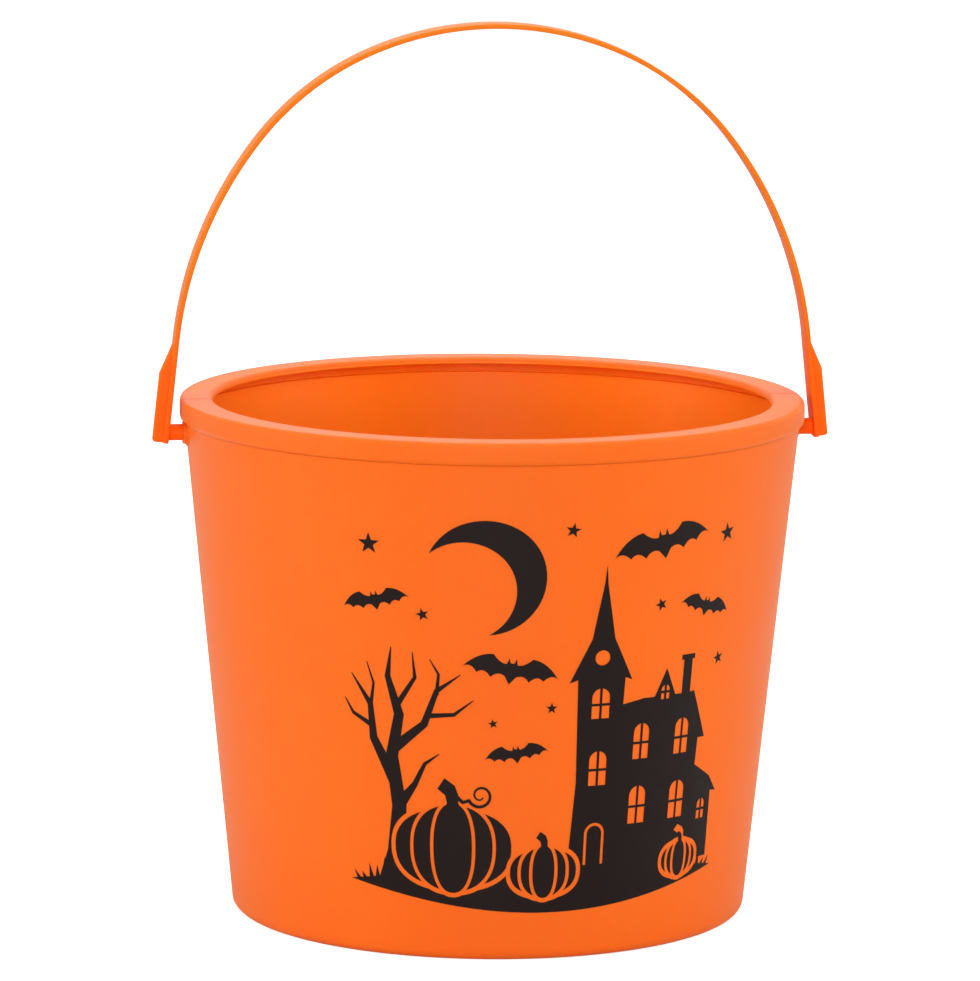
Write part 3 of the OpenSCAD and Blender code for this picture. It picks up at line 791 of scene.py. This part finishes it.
printSizes = {
    "low": 18.5,  # mm above the base
    "gap": 21.0,  # mm below the rim's band
    "turn": 5.4,  # degrees about the pail's axis
    "lift": 0.025,  # mm between the wall and the film
    "film": 0.07,  # mm
    "lowShare": -0.47,  # where the drawing starts and ends on the sheet
    "topShare": 0.46,
    "stripTurn": 1.5,  # degrees of wall that one flat strip of film spans
}


def curvedEdge(start, towards, end, steps=10):
    # bent towards a point between its ends; the start is left out
    points = []
    for t in (i / steps for i in range(1, steps + 1)):
        points.append(tuple((1 - t) ** 2 * a + 2 * t * (1 - t) * b + t * t * c
                            for a, b, c in zip(start, towards, end)))
    return points


def placed(points, middle, size=1.0, turn=0.0):
    c, s = size * cos(radians(turn)), size * sin(radians(turn))
    return [(middle[0] + x * c - y * s, middle[1] + x * s + y * c) for x, y in points]


def ovalPoints(width, height, fullness=0.86, steps=64):
    # a fullness below 1 squares the oval out
    points = []
    for i in range(steps):
        c, s = cos(2 * pi * (i + 0.5) / steps), sin(2 * pi * (i + 0.5) / steps)
        points.append((width / 2 * (1 if c > 0 else -1) * abs(c) ** fullness,
                       height / 2 * (1 if s > 0 else -1) * abs(s) ** fullness))
    return points


def bandPoints(path):
    # outline of a band through (x, y, width) places
    left, right = [], []
    for i, (x, y, width) in enumerate(path):
        before, after = path[max(i - 1, 0)], path[min(i + 1, len(path) - 1)]
        along = (after[0] - before[0], after[1] - before[1])
        length = hypot(along[0], along[1])
        across = (-along[1] / length * width / 2, along[0] / length * width / 2)
        left.append((x + across[0], y + across[1]))
        right.append((x - across[0], y - across[1]))
    return left + right[::-1]


def bayPoints(middle, sill, width, height, steps=14):
    # an opening with a round head
    half = width / 2
    head = arcPoints((middle, sill + height - half), half, 0, 180, steps)
    return [(middle + half, sill)] + head + [(middle - half, sill)]


def boxPoints(left, right, low, high):
    return [(left, low), (right, low), (right, high), (left, high)]


def drawGround():
    steps = 48
    end, rise, sag = -0.405, 0.05, 0.065
    across = [i / steps - 0.5 for i in range(steps + 1)]
    top = [(u, end + rise * cos(pi * u)) for u in across]
    bottom = [(u, end - sag * cos(pi * u)) for u in across[-2:0:-1]]
    yield top + bottom, True
    # blades of grass at both ends, as (place, height, lean)
    sunk, half = 0.006, 0.007
    blades = (
        (0.475, 0.024, 0.016), (0.459, 0.019, 0.011), (0.443, 0.038, 0.006), (0.427, 0.033, 0.001),
        (0.411, 0.052, -0.004), (0.395, 0.047, -0.009), (0.379, 0.066, -0.014),
    )
    for side in (-1, 1):
        for u, height, lean in blades:
            foot = end + rise * cos(pi * u) - sunk
            tip = (side * (u + lean), foot + height)
            yield [(side * u - half, foot), tip, (side * u + half, foot)], True


def drawTree():
    # the trunk first, and each limb as (x, y, width) places
    limbs = (
        ((-0.385, -0.4, 0.075), (-0.375, -0.33, 0.046), (-0.365, -0.22, 0.036),
         (-0.38, -0.1, 0.031), (-0.36, 0, 0.024), (-0.385, 0.09, 0.014), (-0.375, 0.16, 0.002)),
        ((-0.375, -0.16, 0.03), (-0.425, -0.06, 0.02), (-0.43, 0.02, 0.014), (-0.475, 0.09, 0.002)),
        ((-0.43, -0.03, 0.012), (-0.475, -0.005, 0.008), (-0.495, 0.03, 0.002)),
        ((-0.372, -0.08, 0.026), (-0.3, -0.02, 0.018), (-0.27, 0.06, 0.012), (-0.215, 0.1, 0.002)),
        ((-0.29, 0, 0.012), (-0.23, 0.005, 0.009), (-0.185, 0.04, 0.002)),
        ((-0.365, 0.02, 0.014), (-0.32, 0.09, 0.009), (-0.325, 0.15, 0.002)),
        ((-0.367, -0.22, 0.03), (-0.325, -0.165, 0.014), (-0.3, -0.115, 0.009),
         (-0.265, -0.09, 0.002)),
        ((-0.27, 0.05, 0.01), (-0.265, 0.1, 0.006), (-0.285, 0.135, 0.002)),
        ((-0.43, 0.01, 0.01), (-0.42, 0.07, 0.006), (-0.435, 0.12, 0.002)),
    )
    for limb in limbs:
        yield bandPoints(limb), True


def drawHouse():
    yield [
        (0.045, -0.38), (0.06, -0.16), (0.055, 0.085), (0.035, 0.078), (0.085, 0.18),
        (0.108, 0.31), (0.112, 0.355), (0.116, 0.31), (0.14, 0.18), (0.19, 0.078),
        (0.172, 0.085), (0.17, 0.02), (0.225, 0.03), (0.255, 0.03), (0.285, 0.095),
        (0.315, 0.03), (0.335, 0.03), (0.335, 0.11), (0.328, 0.11), (0.328, 0.122),
        (0.368, 0.122), (0.368, 0.11), (0.361, 0.11), (0.361, 0.03), (0.375, 0.032),
        (0.425, -0.085), (0.402, -0.085), (0.4, -0.15), (0.46, -0.185), (0.492, -0.225),
        (0.47, -0.222), (0.475, -0.38),
    ], True
    # middle, sill, width and height
    windows = (
        (0.113, -0.01, 0.044, 0.072), (0.113, -0.17, 0.044, 0.082), (0.225, -0.115, 0.042, 0.085),
        (0.285, 0.022, 0.024, 0.034), (0.345, -0.115, 0.042, 0.085), (0.345, -0.27, 0.046, 0.09),
        (0.437, -0.285, 0.028, 0.048), (0.225, -0.27, 0.046, 0.09),
    )
    bar, crossShare = 0.006, 0.42
    for middle, sill, width, height in windows:
        half, past, cross = width / 2, bar / 4, sill + crossShare * height
        yield bayPoints(middle, sill, width, height), False
        yield boxPoints(middle - bar / 2, middle + bar / 2, sill - past, sill + height + past), True
        yield boxPoints(middle - half - past, middle + half + past, cross, cross + bar), True
    roundWindow, roundSteps = 0.036, 32
    yield placed(ovalPoints(roundWindow, roundWindow, 1.0, roundSteps), (0.112, 0.135)), False
    # the door is drawn as a bare line around it
    middle, sill, width, height, line = 0.113, -0.36, 0.052, 0.1, 0.007
    yield bayPoints(middle, sill, width, height), False
    yield bayPoints(middle, sill - line, width - 2 * line, height), True


def drawSky():
    # the moon is a circle less a smaller one beside it
    bite, shift, steps = 0.86, 0.42, 40
    tip = (1 + shift ** 2 - bite ** 2) / (2 * shift)  # where the two circles cross
    outerStart, innerStart = degrees(acos(tip)), degrees(acos((tip - shift) / bite))
    moon = arcPoints((0, 0), 1, outerStart, 360 - outerStart, steps)
    moon += arcPoints((shift, 0), bite, 360 - innerStart, innerStart, steps)[1:-1]
    yield placed(moon, (-0.16, 0.33), 0.135, 215), True
    points, notch = 5, 0.4  # the notches' radius as a share of the points'
    star = []
    for i in range(2 * points):
        reach, angle = (1, notch)[i % 2], pi / 2 + pi * i / points
        star.append((reach * cos(angle), reach * sin(angle)))
    for x, y, size, turn in (
            (-0.42, 0.4, 0.026, 0), (-0.3, 0.24, 0.016, 15), (0.03, 0.44, 0.018, -10),
            (0.44, 0.4, 0.024, 8), (0.255, 0.25, 0.016, 20), (-0.005, 0.02, 0.014, 0),
            (0.45, 0.1, 0.017, 12), (-0.14, -0.015, 0.012, 10)):
        yield placed(star, (x, y), size, turn), True
    # half of a bat: its head, then each edge of the wing as the point it bends towards and its end
    half = [(0, 0.062), (0.022, 0.066), (0.036, 0.118), (0.056, 0.05)]
    tail = (0, -0.165)
    for towards, end in (
            ((0.13, 0.045), (0.205, 0.135)), ((0.37, 0.125), (0.5, -0.045)),
            ((0.425, 0.015), (0.35, -0.085)), ((0.28, -0.015), (0.2, -0.115)),
            ((0.14, -0.035), (0.06, -0.08))):
        half += curvedEdge(half[-1], towards, end)
    bat = half + [tail] + [(-x, y) for x, y in half[:0:-1]]
    for x, y, span, turn in (
            (-0.1, 0.115, 0.22, -9), (0.25, 0.4, 0.25, 10), (0.39, 0.235, 0.16, -14),
            (-0.41, 0.27, 0.16, 12), (-0.085, -0.085, 0.15, 8)):
        yield placed(bat, (x, y), span, turn), True


def drawPumpkins():
    lobes = ((1, 0.88), (0.68, 0.96), (0.33, 1))  # widest first, as shares of width and height
    stem = ((-0.1, 0.4), (-0.045, 0.5), (-0.06, 0.59), (-0.125, 0.66), (-0.065, 0.78), (0.02, 0.7),
            (0.05, 0.6), (0.05, 0.5), (0.11, 0.4))
    # bare lines between the lobes, around the pumpkin, and beside its stem
    groove, halo, stemHalo = 0.0085, 0.011, 0.044
    for x, y, width, height in (
            (-0.235, -0.315, 0.285, 0.215), (-0.012, -0.372, 0.165, 0.125),
            (0.372, -0.372, 0.115, 0.085)):
        for across, up in lobes:
            outline = ovalPoints(width * across + 2 * halo, height * up + 2 * halo)
            yield placed(outline, (x, y)), False
        around = (width + 2 * stemHalo, height + 2 * halo)
        yield [(x + u * around[0], y + v * around[1]) for u, v in stem], False
        for i, (across, up) in enumerate(lobes):
            if i:
                outline = ovalPoints(width * across + 2 * groove, height * up + 2 * groove)
                yield placed(outline, (x, y)), False
            yield placed(ovalPoints(width * across, height * up), (x, y)), True
        yield [(x + u * width, y + v * height) for u, v in stem], True
    # a tendril, and a curl at its end that winds inwards and thins out
    yield bandPoints(((-0.226, -0.19, 0.01), (-0.21, -0.204, 0.009), (-0.194, -0.199, 0.008))), True
    steps, start, turns, radius, middle = 64, 200, 1.35, 0.03, (-0.168, -0.187)
    thickness, wound, thinned = 0.008, 0.75, 0.6
    curl = []
    for t in (i / steps for i in range(steps + 1)):
        angle = radians(start + 360 * turns * t)
        reach = radius * (1 - wound * t)
        curl.append((middle[0] + reach * cos(angle), middle[1] + reach * sin(angle),
                     thickness * (1 - thinned * t)))
    yield bandPoints(curl), True


def makePrint():
    s = printSizes
    width = (bandLow - s["gap"] - s["low"]) / (s["topShare"] - s["lowShare"])
    middle = s["low"] - s["lowShare"] * width
    sheetTurn = degrees(width / wallRadius(middle))
    drawings = [*drawGround(), *drawTree(), *drawHouse(), *drawSky(), *drawPumpkins()]
    outlines, inks = zip(*drawings)
    points, faces, edges = [], [], []
    for outline in outlines:
        area = sum(a[0] * b[1] - b[0] * a[1] for a, b in zip(outline, outline[1:] + outline[:1]))
        if area < 0:
            outline = outline[::-1]
        faces.append(list(range(len(points), len(points) + len(outline))))
        points += [Vector(p) for p in outline]
    # upright lines cut the film into strips that follow the wall's curve
    strips = ceil(sheetTurn / s["stripTurn"])
    for i in range(strips + 1):
        u = i / strips - 0.5
        edges.append((len(points), len(points) + 1))
        points += [Vector((u, -0.5)), Vector((u, 0.5))]
    withinOutlines, tolerance = 1, 1e-6
    cut = delaunay_2d_cdt(points, edges, faces, withinOutlines, tolerance)
    flat, flatFaces, fromOutlines = cut[0], cut[2], cut[5]
    # the topmost shape over a triangle says whether it is inked
    inked = [f for f, over in zip(flatFaces, fromOutlines) if over and inks[max(over)]]
    used = sorted({v for f in inked for v in f})
    order = {v: i for i, v in enumerate(used)}
    shell = []
    for lift in (s["lift"] + s["film"], s["lift"]):
        for v in used:
            z = middle + width * flat[v].y
            angle = radians(s["turn"] + sheetTurn * flat[v].x)
            radius = wallRadius(z) + lift
            shell.append((radius * sin(angle) * mm, -radius * cos(angle) * mm, z * mm))
    count = len(used)
    outside = [tuple(order[v] for v in f) for f in inked]
    # an edge that only one triangle has lies on an outline, and gets a side
    sides = {}
    for f in outside:
        for a, b in zip(f, f[1:] + f[:1]):
            if (b, a) in sides:
                del sides[(b, a)]
            else:
                sides[(a, b)] = True
    closed = outside + [tuple(v + count for v in reversed(f)) for f in outside]
    closed += [(b, a, a + count, b + count) for a, b in sides]
    film = linkMesh("frontPrint", shell, faces=closed)
    film.data.materials.append(printFilm)
    cleanMesh(film)
    return film


frontPrint = makePrint()
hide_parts("front_print")
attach(frontPrint, "pail_body")
print("print made:", len(frontPrint.data.polygons), "faces")

studio = {
    "floor": "#D6D6D6",
    "floorSize": 12.0,  # m
    "floorLift": 0.8,  # what the floor adds for the camera, so that it reads as white paper
    "mirrorLift": 0.2,  # what it adds in reflections, where the lamps already bring it near white
    "worldLevel": 0.17,  # level of the light from all round
    # name, place in m, size in m, watts
    "lamps": (
        ("front panel", (-0.8, -6.0, 1.7), 3.2, 200.0),
        ("top panel", (0.0, 0.3, 3.0), 2.2, 52.0),
        ("back panel", (0.2, 2.6, 2.1), 1.6, 17.0),
        ("left panel", (-3.2, -0.3, 0.9), 1.6, 41.0),
        ("right panel", (2.9, -0.8, 1.0), 1.6, 36.5),
    ),
    "aim": (0.0, 0.0, 0.12),  # the point that the lamps face, in m
}
white = (1.0, 1.0, 1.0, 1.0)


def makeFloor():
    half = studio["floorSize"] / 2
    corners = [(-half, -half, 0), (half, -half, 0), (half, half, 0), (-half, half, 0)]
    floor = linkMesh("floor", corners, faces=[(0, 1, 2, 3)])
    material, tree = newMaterial("pale paper")
    sweep = addNode(tree, "ShaderNodeBsdfDiffuse", inputs={"Color": linearColour(studio["floor"])})
    rays = addNode(tree, "ShaderNodeLightPath").outputs
    mirrored = addNode(tree, "ShaderNodeMath", {"operation": "MAXIMUM"}, {
        0: rays["Is Glossy Ray"], 1: rays["Is Transmission Ray"]})
    mirrorLevel = addNode(tree, "ShaderNodeMath", {"operation": "MULTIPLY"}, {
        0: mirrored.outputs[0], 1: studio["mirrorLift"]})
    level = addNode(tree, "ShaderNodeMath", {"operation": "MULTIPLY_ADD"}, {
        0: rays["Is Camera Ray"], 1: studio["floorLift"], 2: mirrorLevel.outputs[0]})
    glow = addNode(tree, "ShaderNodeEmission", inputs={
        "Color": white, "Strength": level.outputs[0]})
    both = addNode(tree, "ShaderNodeAddShader", inputs={0: sweep.outputs[0], 1: glow.outputs[0]})
    finishMaterial(tree, both)
    floor.data.materials.append(material)


def makeWorld():
    # white where it is seen or mirrored, and dim as a light
    world = bpy.data.worlds.new("studio")
    world.use_nodes = True
    tree = world.node_tree
    tree.nodes.clear()
    rays = addNode(tree, "ShaderNodeLightPath").outputs
    direct = addNode(tree, "ShaderNodeMath", {"operation": "ADD"}, {
        0: rays["Is Camera Ray"], 1: rays["Is Glossy Ray"]})
    shown = addNode(tree, "ShaderNodeMath", {"operation": "ADD", "use_clamp": True}, {
        0: direct.outputs[0], 1: rays["Is Transmission Ray"]})
    level = addNode(tree, "ShaderNodeMapRange", inputs={
        "Value": shown.outputs[0], "To Min": studio["worldLevel"], "To Max": 1.0})
    light = addNode(tree, "ShaderNodeBackground", inputs={
        "Color": white, "Strength": level.outputs[0]})
    addNode(tree, "ShaderNodeOutputWorld", inputs={"Surface": light.outputs[0]})
    scene.world = world


def makeLamps():
    for name, place, size, watts in studio["lamps"]:
        lamp = bpy.data.lights.new(name, "AREA")
        lamp.shape, lamp.size, lamp.energy = "SQUARE", size, watts
        holder = bpy.data.objects.new(name, lamp)
        holder.location = place
        holder.rotation_mode = "QUATERNION"
        holder.rotation_quaternion = (Vector(place) - Vector(studio["aim"])).to_track_quat("Z", "Y")
        scene.collection.objects.link(holder)


makeFloor()
makeWorld()
makeLamps()
scene.view_settings.view_transform = "Standard"
print("studio made")

bpy.context.view_layer.update()
